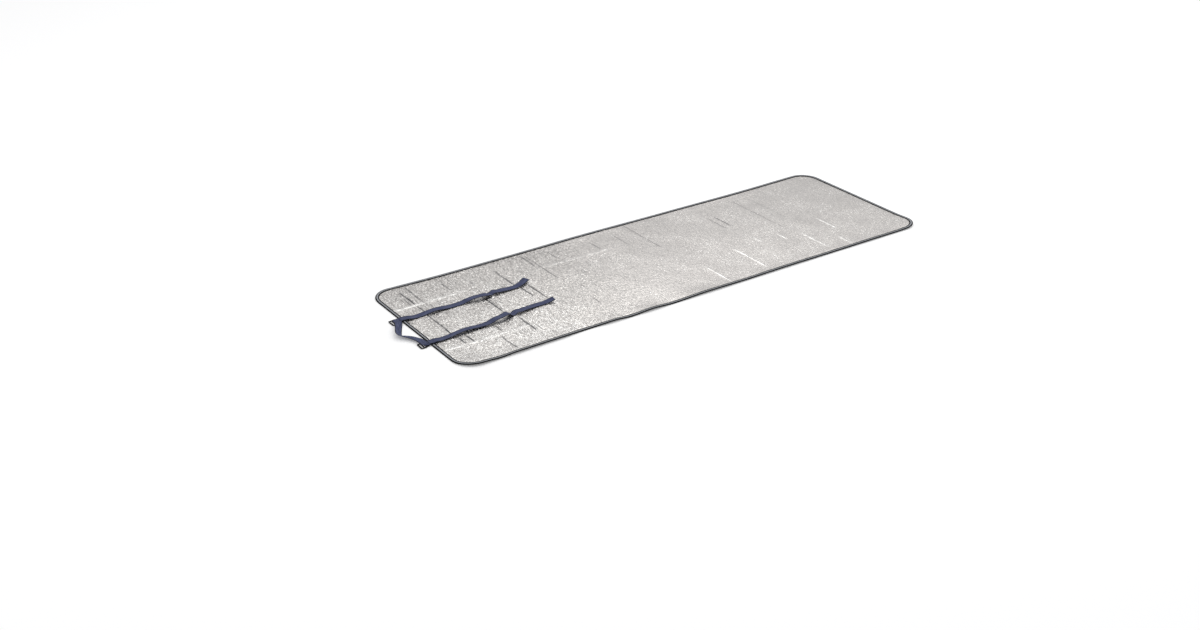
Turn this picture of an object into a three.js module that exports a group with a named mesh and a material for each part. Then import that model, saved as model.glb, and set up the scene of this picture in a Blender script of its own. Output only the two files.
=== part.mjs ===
// Foil sleeping mat, lying flat: a sheet of foam with metallised film, a woven tape folded over
// its edge, two webbing straps that tie it when it is rolled, the buckles they thread through and
// a carrying handle. Millimetres, +Z up. The origin is on the ground under the mat's middle, +X
// runs along the mat away from the straps, and +Y points to its back long edge.

import * as THREE from 'three';
import { mergeVertices } from 'three/addons/utils/BufferGeometryUtils.js';

// ---- Driving dimensions (mm) ----

const LENGTH = 1850;
const WIDTH = 600;
const CORNER = 70; // radius of the taped corners
const OUT_OF_SQUARE = 0.025; // the mat lies a little askew: shift along X for each mm across Y

const FOAM = 2.5; // the free sheet
const PINCHED = 1.0; // the sheet where the tape is sewn through it
const TAPE = 1.0;
const TAPE_WIDTH = 12;
const GAP = 0.3; // clearance between neighbouring pieces

const WEB = 1.0;
const WEB_WIDTH = 25;

const LIFT_REACH = 75; // how far in from an edge its ripples die out
const SWAY_REACH = 160; // how far in from an edge its sway dies out
const CREASE_HALF = 8; // half width of a crease
const CREASE_FADE = 60; // length over which a crease runs out at its ends

const COLOURS = { foil: 0xc9c6c4, tape: 0x696a6e, webbing: 0x4a5177, plastic: 0x17181b };

// Creases pressed across the mat where it was rolled up, a row for each.
const ROLL_CREASES = [
  { x: -837, from: -130, to: 260, depth: 0.7 },
  { x: -650, from: -190, to: 190, depth: 0.9 },
  { x: -519, from: -60, to: 170, depth: 0.6 },
  { x: -392, from: 20, to: 285, depth: 0.8 },
  { x: -215, from: 60, to: 285, depth: 0.5 },
  { x: 95, from: 40, to: 285, depth: 0.7 },
  { x: 272, from: -285, to: -60, depth: 0.7 },
  { x: 372, from: -40, to: 200, depth: 0.6 },
  { x: 463, from: -120, to: 160, depth: 0.6 },
  { x: 528, from: -240, to: 230, depth: 0.9 },
  { x: 610, from: -160, to: 240, depth: 0.6 },
];

// Ridges along the mat where its sides were folded in before it was rolled.
const FOLD_RIDGES = [
  { y: -165, from: -900, to: -300, height: 0.9 },
  { y: 142, from: -900, to: -340, height: 0.9 },
];

// The long edges, along the mat: how high each lies above the ground and how far it sways inwards.
const FRONT_EDGE = [
  { x: -925, lift: 1.5, inward: 0 },
  { x: -808, lift: 2.0, inward: 0 },
  { x: -735, lift: 5.0, inward: 1 },
  { x: -610, lift: 4.0, inward: 3 },
  { x: -480, lift: 0.4, inward: 8 },
  { x: -389, lift: 4.5, inward: 3 },
  { x: -324, lift: 0.8, inward: 1 },
  { x: -246, lift: 5.0, inward: 0 },
  { x: -161, lift: 0.4, inward: 0 },
  { x: -25, lift: 4.0, inward: 0 },
  { x: 130, lift: 2.2, inward: 0 },
  { x: 300, lift: 3.0, inward: 1 },
  { x: 520, lift: 1.6, inward: 1 },
  { x: 690, lift: 2.6, inward: 0 },
  { x: 925, lift: 0.6, inward: 0 },
];
const BACK_EDGE = [
  { x: -925, lift: 0.5, inward: 0 },
  { x: -640, lift: 2.0, inward: 9 },
  { x: -420, lift: 0.3, inward: 5 },
  { x: -120, lift: 1.8, inward: 3 },
  { x: 240, lift: 0.3, inward: 4 },
  { x: 560, lift: 2.0, inward: 9 },
  { x: 925, lift: 0.3, inward: 0 },
];

// Corners that curl up: the place of each, its height and the distance at which it lies flat again.
const CORNER_LIFT = [
  { x: -880, y: -300, lift: 4.5, reach: 110 },
  { x: 925, y: -300, lift: 4.5, reach: 130 },
  { x: -925, y: 300, lift: 1.5, reach: 90 },
];

// Grid lines of the sheet: distances in from its edge, and places along and across its middle.
const RIM_LINES = [TAPE + GAP, TAPE_WIDTH + GAP, 2 * TAPE_WIDTH, 46, CORNER];
const PLAIN_X = [-750, -575, -455, -325, -270, -120, -30, 190, 690, 775];
const PLAIN_Y = [-90, -30, 30, 86, 190];

// ---- Helpers ----

/** A table's value at a place between its rows, eased so that it is level at each row. */
function eased(rows, place, column, at) {
  if (at <= rows[0][place]) return rows[0][column];
  for (let i = 1; i < rows.length; i += 1) {
    const [low, high] = [rows[i - 1], rows[i]];
    if (at <= high[place]) {
      const share = THREE.MathUtils.smoothstep(at, low[place], high[place]);
      return THREE.MathUtils.lerp(low[column], high[column], share);
    }
  }
  return rows.at(-1)[column];
}

/** One at the edge, falling in a smooth curve to nothing at the given reach. */
function fading(distance, reach) {
  return distance < reach ? (1 - distance / reach) ** 2 : 0;
}

/** One between two places, easing to nothing outside them. */
function between(at, from, to) {
  const up = THREE.MathUtils.smoothstep(at, from - CREASE_FADE / 2, from + CREASE_FADE / 2);
  const down = THREE.MathUtils.smoothstep(at, to - CREASE_FADE / 2, to + CREASE_FADE / 2);
  return up * (1 - down);
}

/** How far the whole mat is lifted off the ground at a place by its rippled edges and corners. */
function lift(x, y) {
  const front = eased(FRONT_EDGE, 'x', 'lift', x) * fading(y + WIDTH / 2, LIFT_REACH);
  const back = eased(BACK_EDGE, 'x', 'lift', x) * fading(WIDTH / 2 - y, LIFT_REACH);
  const corners = CORNER_LIFT.map((c) => {
    const distance = Math.hypot(x - c.x, y - c.y);
    return c.lift * (1 - THREE.MathUtils.smoothstep(distance, 0, c.reach));
  });
  return Math.max(front, back) + Math.max(...corners);
}

/** Relief of the upper face at a place: troughs across the mat and ridges along it. */
function creases(x, y) {
  let height = 0;
  for (const c of ROLL_CREASES) {
    const nearness = Math.max(0, 1 - Math.abs(x - c.x) / CREASE_HALF);
    height -= c.depth * nearness * between(y, c.from, c.to);
  }
  for (const f of FOLD_RIDGES) {
    const nearness = Math.max(0, 1 - Math.abs(y - f.y) / CREASE_HALF);
    height += f.height * nearness * between(x, f.from, f.to);
  }
  return height;
}

/** X of a place of the square mat once the mat lies askew. */
function askew(x, y) {
  return x - OUT_OF_SQUARE * y;
}

/** One over the tape's width from a long edge, easing to nothing further in. */
function swaying(distance) {
  return 1 - THREE.MathUtils.smoothstep(distance, TAPE_WIDTH, SWAY_REACH);
}

/** A place of the square mat, moved to where it lies: askew, with its long edges swaying. */
function placed(x, y, z) {
  const front = eased(FRONT_EDGE, 'x', 'inward', x) * swaying(y + WIDTH / 2);
  const back = eased(BACK_EDGE, 'x', 'inward', x) * swaying(WIDTH / 2 - y);
  return new THREE.Vector3(askew(x, y), y + front - back, z + lift(x, y));
}

/** A geometry from corner points and faces of four of them, in order seen from outside. */
function solid(points, quads) {
  const halves = quads.flatMap(([a, b, c, d]) => [a, b, c, a, c, d]);
  const geometry = new THREE.BufferGeometry();
  const corners = halves.flatMap((index) => points[index].toArray());
  geometry.setAttribute('position', new THREE.Float32BufferAttribute(corners, 3));
  return mergeVertices(geometry);
}

/** Side faces between neighbouring loops of points, numbered loop after loop. */
function sides(loops, size, closed) {
  const faces = [];
  for (let i = 0; i < (closed ? loops : loops - 1); i += 1) {
    const [here, next] = [i * size, ((i + 1) % loops) * size];
    for (let j = 0; j < size; j += 1) {
      const k = (j + 1) % size;
      faces.push([here + j, here + k, next + k, next + j]);
    }
  }
  return faces;
}

/** A mesh with the name of its piece. */
function piece(name, geometry, colour, roughness, metalness = 0) {
  const material = new THREE.MeshStandardMaterial({ color: colour, roughness, metalness });
  const mesh = new THREE.Mesh(geometry, material);
  mesh.name = name;
  return mesh;
}

// ---- The sheet and the tape round it ----

/** Grid places over one side of the sheet: the lines near both edges and those between. */
function gridLines(side, middle) {
  const near = RIM_LINES.map((inset) => inset - side / 2);
  const far = RIM_LINES.map((inset) => side / 2 - inset).reverse();
  return [...near, ...[...middle].sort((a, b) => a - b), ...far];
}

const creaseLines = ROLL_CREASES.flatMap((c) => [c.x - CREASE_HALF, c.x, c.x + CREASE_HALF]);
const ridgeLines = FOLD_RIDGES.flatMap((f) => [f.y - CREASE_HALF, f.y, f.y + CREASE_HALF]);
const GRID_X = gridLines(LENGTH, [...creaseLines, ...PLAIN_X]);
const GRID_Y = gridLines(WIDTH, [...ridgeLines, ...PLAIN_Y]);

/**
 * Where a point of the rectangular grid goes once the corners are round, and which way is out
 * there. In a corner's square the grid's nested squares become arcs about the same centre.
 */
function rounded(x, y) {
  const centre = [LENGTH / 2 - CORNER, WIDTH / 2 - CORNER];
  const [a, b] = [Math.abs(x) - centre[0], Math.abs(y) - centre[1]];
  const signs = [Math.sign(x), Math.sign(y)];
  if (a <= 0 || b <= 0) {
    return { x, y, out: a > b ? [signs[0], 0] : [0, signs[1]] };
  }
  const radius = Math.max(a, b);
  const turn = a >= b ? (b / a) * (Math.PI / 4) : Math.PI / 2 - (a / b) * (Math.PI / 4);
  const out = [signs[0] * Math.cos(turn), signs[1] * Math.sin(turn)];
  const place = centre.map((c, i) => signs[i] * c + radius * out[i]);
  return { x: place[0], y: place[1], out };
}

/** Lower and upper face of the sheet above the ground at a distance in from the mat's edge. */
function faces(inset) {
  const share = THREE.MathUtils.clamp((inset - TAPE_WIDTH - GAP) / (TAPE_WIDTH - GAP), 0, 1);
  return {
    lower: THREE.MathUtils.lerp(TAPE + GAP, 0, share),
    upper: THREE.MathUtils.lerp(TAPE + GAP + PINCHED, FOAM, share),
  };
}

function sheetGeometry() {
  const [columns, rows] = [GRID_X.length, GRID_Y.length];
  const upper = [];
  const lower = [];
  for (const gx of GRID_X) {
    for (const gy of GRID_Y) {
      const inset = Math.min(LENGTH / 2 - Math.abs(gx), WIDTH / 2 - Math.abs(gy));
      const { x, y } = rounded(gx, gy);
      const face = faces(inset);
      const relief = inset > TAPE_WIDTH + GAP ? creases(x, y) : 0;
      upper.push(placed(x, y, face.upper + relief));
      lower.push(placed(x, y, face.lower));
    }
  }
  const quads = [];
  const under = upper.length;
  const wall = (p, q) => quads.push([p, under + p, under + q, q]);
  for (let i = 0; i < columns - 1; i += 1) {
    for (let j = 0; j < rows - 1; j += 1) {
      const [p, q] = [i * rows + j, (i + 1) * rows + j];
      quads.push([p, q, q + 1, p + 1], [p + 1, q + 1, q, p].map((index) => under + index));
    }
    wall(i * rows, (i + 1) * rows);
    wall((i + 2) * rows - 1, (i + 1) * rows - 1);
  }
  for (let j = 0; j < rows - 1; j += 1) {
    wall(j + 1, j);
    wall((columns - 1) * rows + j, (columns - 1) * rows + j + 1);
  }
  return solid([...upper, ...lower], quads);
}

/** The tape's section: distances in from the mat's edge and heights above the ground. */
function tapeSection() {
  const [inner, top] = [TAPE + 2 * GAP + PINCHED, 2 * TAPE + 2 * GAP + PINCHED];
  return [
    { inset: TAPE_WIDTH, z: inner },
    { inset: TAPE_WIDTH, z: top },
    { inset: 0, z: top },
    { inset: 0, z: 0 },
    { inset: TAPE_WIDTH, z: 0 },
    { inset: TAPE_WIDTH, z: TAPE },
    { inset: TAPE, z: TAPE },
    { inset: TAPE, z: inner },
  ];
}

function tapeGeometry() {
  const front = GRID_X.slice(0, -1).map((gx) => [gx, GRID_Y[0]]);
  const right = GRID_Y.slice(0, -1).map((gy) => [GRID_X.at(-1), gy]);
  const back = GRID_X.slice(1).reverse().map((gx) => [gx, GRID_Y.at(-1)]);
  const left = GRID_Y.slice(1).reverse().map((gy) => [GRID_X[0], gy]);
  const stations = [...front, ...right, ...back, ...left];
  const section = tapeSection();
  const points = [];
  for (const [gx, gy] of stations) {
    const edge = rounded(gx, gy);
    for (const s of section) {
      const out = RIM_LINES[0] - s.inset;
      points.push(placed(edge.x + out * edge.out[0], edge.y + out * edge.out[1], s.z));
    }
  }
  return solid(points, sides(stations.length, section.length, true));
}

// ---- Webbing ----

const MAT_TOP = FOAM + GAP; // where webbing lies on the sheet
const TAPE_TOP = 2 * TAPE + 3 * GAP + PINCHED; // where webbing lies on the tape
const LAYER = WEB + GAP; // one more layer of webbing

/** Webbing along a row of middle points, with the direction across it at each. */
function webbingGeometry(middles, acrosses) {
  const points = [];
  middles.forEach((middle, i) => {
    const [before, after] = [middles[Math.max(i - 1, 0)], middles[Math.min(i + 1, middles.length - 1)]];
    const along = after.clone().sub(before).normalize();
    const across = acrosses[i].clone();
    const up = along.clone().cross(across).normalize();
    for (const [side, face] of [[-1, -1], [1, -1], [1, 1], [-1, 1]]) {
      const corner = middle.clone().addScaledVector(across, (side * WEB_WIDTH) / 2);
      points.push(corner.addScaledVector(up, (face * WEB) / 2));
    }
  });
  const last = 4 * (middles.length - 1);
  const ends = [[3, 2, 1, 0], [last, last + 1, last + 2, last + 3]];
  return solid(points, [...sides(middles.length, 4, false), ...ends]);
}

/**
 * Webbing laid along the rows of a table: x and y of its middle, z of its middle and the tilt in
 * degrees about its own line, smoothed between the rows.
 */
function laidWebbing(rows, steps) {
  const route = new THREE.CatmullRomCurve3(rows.map((r) => new THREE.Vector3(r.x, r.y, r.z)));
  const count = (rows.length - 1) * steps;
  const middles = [];
  const acrosses = [];
  for (let i = 0; i <= count; i += 1) {
    const share = i / count;
    const tangent = route.getTangent(share);
    const [row, rest] = [Math.floor(i / steps), (i % steps) / steps];
    const [here, next] = [rows[row], rows[Math.min(row + 1, rows.length - 1)]];
    const tilt = THREE.MathUtils.degToRad(THREE.MathUtils.lerp(here.tilt ?? 0, next.tilt ?? 0, rest));
    const level = new THREE.Vector3(-tangent.y, tangent.x, 0).normalize();
    middles.push(route.getPoint(share));
    acrosses.push(level.applyAxisAngle(tangent, tilt));
  }
  return webbingGeometry(middles, acrosses);
}

// The straps, from the sewn end to the free end: height is that of the webbing's underside over
// the sheet it lies on. Each has a crimp about two thirds of the way along, where it was threaded.
const ROOT_HEIGHT = TAPE_TOP + 2 * LAYER - MAT_TOP;
const STRAPS = {
  back: [
    { x: -926, y: 79, height: ROOT_HEIGHT },
    { x: -914, y: 78, height: ROOT_HEIGHT },
    { x: -902, y: 76, height: ROOT_HEIGHT },
    { x: -884, y: 74, height: 0.9 },
    { x: -862, y: 75, height: 0.2 },
    { x: -840, y: 76, height: 1.8 },
    { x: -812, y: 76, height: 4.6, tilt: -4 },
    { x: -786, y: 76.5, height: 2.4 },
    { x: -750, y: 75, height: 0.2 },
    { x: -716, y: 76, height: 0.5 },
    { x: -682, y: 77.5, height: 5.4, tilt: -3 },
    { x: -648, y: 73.5, height: 8.4, tilt: -4 },
    { x: -621, y: 74, height: 5.6 },
    { x: -607, y: 78.5, height: 0.5 },
    { x: -597, y: 79, height: 5.4 },
    { x: -578, y: 78.5, height: 3.4 },
    { x: -560, y: 78, height: 2.8 },
    { x: -536, y: 78, height: 1.0 },
    { x: -512, y: 77.5, height: 1.6 },
    { x: -488, y: 84, height: 4.5 },
    { x: -460, y: 100.5, height: 6.0, tilt: 6 },
  ],
  front: [
    { x: -923.5, y: -100, height: ROOT_HEIGHT },
    { x: -911.5, y: -101, height: ROOT_HEIGHT },
    { x: -899.5, y: -100, height: ROOT_HEIGHT },
    { x: -882, y: -100, height: 1.4, tilt: -2 },
    { x: -858, y: -98, height: 1.5, tilt: -5 },
    { x: -830, y: -95, height: 3.0, tilt: -7 },
    { x: -800, y: -91.5, height: 4.3, tilt: -7 },
    { x: -772, y: -91.5, height: 3.6, tilt: -6 },
    { x: -744, y: -92.5, height: 2.1, tilt: -5 },
    { x: -716, y: -94, height: 3.6, tilt: -3 },
    { x: -688, y: -88.5, height: 7.2, tilt: -3 },
    { x: -660, y: -86.5, height: 9.6, tilt: -4 },
    { x: -638, y: -80.5, height: 9.8 },
    { x: -624, y: -79, height: 1.0 },
    { x: -614, y: -77.5, height: 0.4 },
    { x: -605, y: -76.5, height: 4.2 },
    { x: -588, y: -75.5, height: 3.2 },
    { x: -560, y: -72.5, height: 2.6, tilt: -3 },
    { x: -532, y: -70, height: 1.4 },
    { x: -504, y: -69.5, height: 0.6 },
    { x: -481, y: -70.5, height: 3.4 },
    { x: -463, y: -73, height: 9.0 },
  ],
};

function strapGeometry(rows) {
  const laid = rows.map((r) => ({ ...r, z: MAT_TOP + r.height + WEB / 2 }));
  return laidWebbing(laid, 2);
}

// The handle: a loop of webbing outside the short edge. Its ends lie flat on the buckle loops,
// and between them its outer side stands up, most of all at the bend.
const HANDLE_END = TAPE_TOP + 2 * LAYER + WEB / 2;
const HANDLE = [
  { x: -942.5, y: 84, z: HANDLE_END, tilt: 0 },
  { x: -942.5, y: 74, z: HANDLE_END, tilt: 0 },
  { x: -942.5, y: 64, z: HANDLE_END, tilt: 0 },
  { x: -948.5, y: 51, z: 7.4, tilt: -21 },
  { x: -958.5, y: 31, z: 8.2, tilt: -34 },
  { x: -969, y: 10, z: 8.8, tilt: -38 },
  { x: -976, y: -5, z: 8.8, tilt: -37 },
  { x: -975.5, y: -17, z: 8.2, tilt: -29 },
  { x: -967, y: -28, z: 7.4, tilt: -20 },
  { x: -956, y: -40, z: 6.6, tilt: -14 },
  { x: -946.5, y: -56, z: 6.2, tilt: -11 },
  { x: -940.5, y: -72, z: 6.4, tilt: -6 },
  { x: -938.5, y: -89, z: HANDLE_END, tilt: 0 },
  { x: -938, y: -98, z: HANDLE_END, tilt: 0 },
  { x: -938, y: -107, z: HANDLE_END, tilt: 0 },
];

// ---- Buckles and the loops of webbing that hold them ----

// A ladder buckle, from its inner end out: a bar, a slot, the middle bar, a slot and an outer bar.
const BUCKLE = {
  width: 32.4,
  innerBar: 3.2,
  slots: [
    { wide: 4.8, long: 26, bar: 3.8 },
    { wide: 4.8, long: 25.4, bar: 5 },
  ],
  thick: 3.2,
  corner: 3,
  inner: 14, // from the mat's edge to the buckle's inner end
  height: 3.2, // middle of the inner bar above the ground
  droop: 9, // degrees: its outer end lies lower
  curl: 2, // how far its outer end turns up
};
const CUT_CORNER = 0.3; // how far the loop's turns round the bar are cut off at their corners
const BUCKLE_LENGTH = BUCKLE.slots.reduce((sum, s) => sum + s.wide + s.bar, BUCKLE.innerBar);

// Where the two of each stand along the short edge.
const SIDES = { back: 78, front: -102 };

/** X of a place that lies the given distance outside the short edge, at y. */
function outside(distance, y) {
  return askew(-LENGTH / 2 - distance, y);
}

/** The buckle's outline with its two slots, its inner bar's middle at the origin, +X outwards. */
function buckleShape() {
  const { width, innerBar, slots, corner } = BUCKLE;
  const [start, half] = [-innerBar / 2, width / 2];
  const end = start + BUCKLE_LENGTH;
  const shape = new THREE.Shape();
  const turns = [[end, -half], [end, half], [start, half], [start, -half]];
  turns.forEach(([x, y], quarter) => {
    const centre = [x - Math.sign(x) * corner, y - Math.sign(y) * corner];
    const angle = (quarter - 1) * (Math.PI / 2);
    shape.absarc(...centre, corner, angle, angle + Math.PI / 2);
  });
  let from = start + innerBar;
  for (const { wide, long, bar } of slots) {
    const corners = [[from, -long], [from, long], [from + wide, long], [from + wide, -long]];
    shape.holes.push(new THREE.Path(corners.map(([x, y]) => new THREE.Vector2(x, y / 2))));
    from += wide + bar;
  }
  return shape;
}

/** The buckle: its outline given thickness, the outer half curled up, turned to lie outwards. */
function buckleGeometry() {
  const flat = new THREE.ExtrudeGeometry(buckleShape(), {
    depth: BUCKLE.thick,
    bevelEnabled: false,
    curveSegments: 3,
  });
  flat.deleteAttribute('normal');
  flat.deleteAttribute('uv');
  const place = flat.attributes.position;
  for (let i = 0; i < place.count; i += 1) {
    const share = Math.max(0, place.getX(i) / BUCKLE_LENGTH);
    place.setZ(i, place.getZ(i) - BUCKLE.thick / 2 + BUCKLE.curl * share ** 2);
  }
  const merged = mergeVertices(flat);
  merged.rotateY(THREE.MathUtils.degToRad(BUCKLE.droop));
  merged.rotateZ(Math.PI);
  return merged;
}

/**
 * The loop: webbing from under the strap's end, out past the edge, round the buckle's inner bar
 * and back over itself. Rows give the distance outside the edge and the height of its middle.
 */
function loopGeometry(y) {
  const low = TAPE_TOP + WEB / 2;
  const high = low + LAYER;
  const bar = BUCKLE.inner + BUCKLE.innerBar / 2;
  const hug = GAP + WEB / 2 + CUT_CORNER / 3; // from the bar's faces to the webbing's middle
  const round = BUCKLE.innerBar / 2 + hug;
  const over = BUCKLE.thick / 2 + hug;
  const section = [
    { out: -22, z: low },
    { out: -8, z: low },
    { out: 1.5, z: low },
    { out: 5.5, z: 3.2 },
    { out: 10, z: 1.2 },
    { out: bar - 1, z: BUCKLE.height - over },
    { out: bar + round - hug, z: BUCKLE.height - over },
    { out: bar + round - CUT_CORNER, z: BUCKLE.height - over + CUT_CORNER },
    { out: bar + round, z: BUCKLE.height - over + hug },
    { out: bar + round, z: BUCKLE.height + over - hug },
    { out: bar + round - CUT_CORNER, z: BUCKLE.height + over - CUT_CORNER },
    { out: bar + round - hug, z: BUCKLE.height + over },
    { out: bar - 1, z: BUCKLE.height + over },
    { out: 10, z: high - 0.2 },
    { out: 1.5, z: high },
    { out: -8, z: high },
    { out: -22, z: high },
  ];
  const middles = section.map((s) => new THREE.Vector3(outside(s.out, y), y, s.z));
  const across = new THREE.Vector3(0, -1, 0);
  return webbingGeometry(middles, middles.map(() => across));
}

// ---- The whole mat ----

const mat = new THREE.Group();
mat.add(piece('panel', sheetGeometry(), COLOURS.foil, 0.35, 0.8));
mat.add(piece('binding', tapeGeometry(), COLOURS.tape, 0.8));
for (const [side, y] of Object.entries(SIDES)) {
  mat.add(piece(`strap_${side}`, strapGeometry(STRAPS[side]), COLOURS.webbing, 0.85));
  mat.add(piece(`loop_${side}`, loopGeometry(y), COLOURS.webbing, 0.85));
  const buckle = piece(`buckle_${side}`, buckleGeometry(), COLOURS.plastic, 0.35);
  buckle.position.set(outside(BUCKLE.inner + BUCKLE.innerBar / 2, y), y, BUCKLE.height);
  mat.add(buckle);
}
mat.add(piece('handle', laidWebbing(HANDLE, 2), COLOURS.webbing, 0.85));

export default mat;
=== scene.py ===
# %% [markdown]
# # A foil sleeping mat, lying flat
#
# The mat is a sheet of thin foam with metallised film on its upper side, woven tape folded over
# its edge, two webbing straps that tie it when it is rolled up, two moulded buckles on short
# webbing loops, and a carrying handle. Its solids come packed from the CAD source, in metres,
# with +X along the mat away from its straps and +Z up. Here each soft solid is replaced by a
# finer surface on the same lie, and every surface gets its finish.

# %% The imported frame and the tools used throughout
import math

import bpy
import numpy as np
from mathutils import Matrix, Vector


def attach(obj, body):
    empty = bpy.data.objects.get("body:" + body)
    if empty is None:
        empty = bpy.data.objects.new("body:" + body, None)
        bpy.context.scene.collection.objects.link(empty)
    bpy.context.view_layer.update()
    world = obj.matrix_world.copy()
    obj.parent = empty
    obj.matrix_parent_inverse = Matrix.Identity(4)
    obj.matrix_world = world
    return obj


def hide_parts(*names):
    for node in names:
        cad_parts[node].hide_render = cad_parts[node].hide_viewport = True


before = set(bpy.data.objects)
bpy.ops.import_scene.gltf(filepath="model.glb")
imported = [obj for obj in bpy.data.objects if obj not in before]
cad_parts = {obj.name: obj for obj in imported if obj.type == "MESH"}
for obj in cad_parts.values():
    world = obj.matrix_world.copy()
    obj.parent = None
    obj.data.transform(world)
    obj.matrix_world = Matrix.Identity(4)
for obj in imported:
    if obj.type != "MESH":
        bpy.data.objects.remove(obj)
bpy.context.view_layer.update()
MM = 0.001
print("nodes:", sorted(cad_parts))

# %% [markdown]
# ## Colours and shader nodes
#
# A colour is written as it looks on a screen, as sRGB hex, and Blender's shaders want linear
# light, so one function turns one into the other. Another adds a node: its settings are given
# by name, and each input gets either a plain value or the output of another node.


# %% Helpers for colours and nodes
def linear(colour):
    """sRGB hex to linear RGBA: c / 12.92 below 0.04045, and ((c + 0.055) / 1.055) ** 2.4 above."""
    screen = [int(colour[i : i + 2], 16) / 255 for i in (1, 3, 5)]
    return [c / 12.92 if c <= 0.04045 else ((c + 0.055) / 1.055) ** 2.4 for c in screen] + [1.0]


def add(tree, kind, inputs=None, **settings):
    """A new node in the tree, with its settings, and with its inputs set or linked."""
    node = tree.nodes.new(kind)
    for name, value in settings.items():
        setattr(node, name, value)
    for name, value in (inputs or {}).items():
        if isinstance(value, bpy.types.NodeSocket):
            tree.links.new(value, node.inputs[name])
        else:
            node.inputs[name].default_value = value
    return node


def finish_named(name):
    """A new material with an empty node tree."""
    material = bpy.data.materials.new(name)
    material.use_nodes = True
    material.node_tree.nodes.clear()
    return material, material.node_tree


def output(tree, shader):
    """The shader, joined to the material's output."""
    add(tree, "ShaderNodeOutputMaterial", {"Surface": shader})


def bumped(tree, height, depth, strength=1.0):
    """The normal of a relief whose height is a value times a depth in millimetres."""
    inputs = {"Height": height, "Distance": depth * MM, "Strength": strength}
    return add(tree, "ShaderNodeBump", inputs).outputs["Normal"]


def surface(tree, colour, roughness, normal, **more):
    """A principled shader on the material's output; other inputs by name, _ for each space."""
    inputs = {"Base Color": colour, "Roughness": roughness, "Normal": normal}
    inputs.update({name.replace("_", " "): value for name, value in more.items()})
    output(tree, add(tree, "ShaderNodeBsdfPrincipled", inputs).outputs["BSDF"])


def ramp(tree, value, stops):
    """A colour ramp from positions and colours, read at the value."""
    node = add(tree, "ShaderNodeValToRGB", {"Fac": value})
    marks = node.color_ramp.elements
    while len(marks) < len(stops):
        marks.new(0.5)
    for mark, (position, colour) in zip(marks, stops):
        mark.position = position
        mark.color = linear(colour)
    return node.outputs["Color"]


def mixed(tree, share, first, second):
    """The first colour where the share is 0, the second where it is 1."""
    inputs = {"Fac": share, "Color1": first, "Color2": second}
    return add(tree, "ShaderNodeMixRGB", inputs).outputs["Color"]


def maths(tree, operation, first, second=0.0, third=0.0, **settings):
    """One step of arithmetic on values or outputs."""
    inputs = {0: first, 1: second, 2: third}
    node = add(tree, "ShaderNodeMath", inputs, operation=operation, **settings)
    return node.outputs[0]


def between_values(tree, value, low, high, start=0.0, end=1.0):
    """From start to end, eased, as the value goes from low to high."""
    limits = {"Value": value, "From Min": low, "From Max": high, "To Min": start, "To Max": end}
    node = add(tree, "ShaderNodeMapRange", limits, interpolation_type="SMOOTHSTEP")
    return node.outputs["Result"]


def waves(tree, place, sizes, detail=2.0, roughness=0.5):
    """Noise from 0 to 1 whose lumps have the given sizes in millimetres along X, Y and Z."""
    scale = [1 / (size * MM) for size in sizes]
    mapped = add(tree, "ShaderNodeMapping", {"Vector": place, "Scale": scale})
    noise = add(
        tree,
        "ShaderNodeTexNoise",
        {
            "Vector": mapped.outputs["Vector"],
            "Scale": 1.0,
            "Detail": detail,
            "Roughness": roughness,
        },
    )
    return noise.outputs["Fac"]


# %% [markdown]
# ## Meshes from grids of points
#
# Every new surface here is a grid: a row of sections, each a row of points. numpy works out all
# the points at once. One function joins neighbours by quads and closes the grid on itself where
# it is a tube or a ring, and another puts points and faces into a mesh with its materials.


# %% Helpers for meshes
def grid_faces(rows, columns, wrap_rows=False, wrap_columns=False, start=0):
    """Quads between neighbouring points of a grid, numbered row after row."""
    i = np.arange(rows if wrap_rows else rows - 1)[:, None]
    j = np.arange(columns if wrap_columns else columns - 1)[None, :]
    here, up = i * columns, (i + 1) % rows * columns
    right = (j + 1) % columns
    quads = np.stack([here + j, here + right, up + right, up + j], axis=-1)
    return quads.reshape(-1, 4) + start


def mesh_piece(name, points, faces, materials, uv=None, shares=None, sharp=40):
    """An object at the origin from points (metres), lists of faces, and materials by face list."""
    mesh = bpy.data.meshes.new(name)
    corners = [[int(corner) for corner in face] for group in faces for face in group]
    mesh.from_pydata(np.asarray(points).reshape(-1, 3).tolist(), [], corners)
    for material in materials:
        mesh.materials.append(material)
    index = np.concatenate([np.full(len(group), i) for i, group in enumerate(faces)])
    mesh.polygons.foreach_set("material_index", index.astype(np.int32))
    mesh.polygons.foreach_set("use_smooth", np.ones(len(corners), dtype=bool))
    mesh.set_sharp_from_angle(angle=math.radians(sharp))
    if uv is not None:
        layer = mesh.uv_layers.new(name="cloth")
        vertex = np.zeros(len(mesh.loops), dtype=np.int32)
        mesh.loops.foreach_get("vertex_index", vertex)
        corner_uv = np.asarray(uv).reshape(-1, 2)[vertex]
        layer.data.foreach_set("uv", corner_uv.astype(np.float32).ravel())
    for attribute, values in (shares or {}).items():
        layer = mesh.attributes.new(attribute, "FLOAT", "POINT")
        layer.data.foreach_set("value", np.asarray(values, dtype=np.float32).ravel())
    mesh.validate()
    piece = bpy.data.objects.new(name, mesh)
    bpy.context.scene.collection.objects.link(piece)
    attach(piece, "root")
    triangles = sum(len(p.vertices) - 2 for p in mesh.polygons)
    print(f"{name}: {len(mesh.vertices)} points, {triangles} triangles")
    return piece


# %% [markdown]
# ## The camera, the floor and the light
#
# The mat is looked at from its strap end and a little from above, as somebody standing beside
# it sees it. Metallised film is a mirror broken into thousands of small dents, so its look is
# its surroundings: it needs a room that is brighter in some directions than in others. The room
# is a pale floor under a plain sky, white at the horizon and overhead and greyer in two bands
# between, with two large soft lamps over it.

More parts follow.
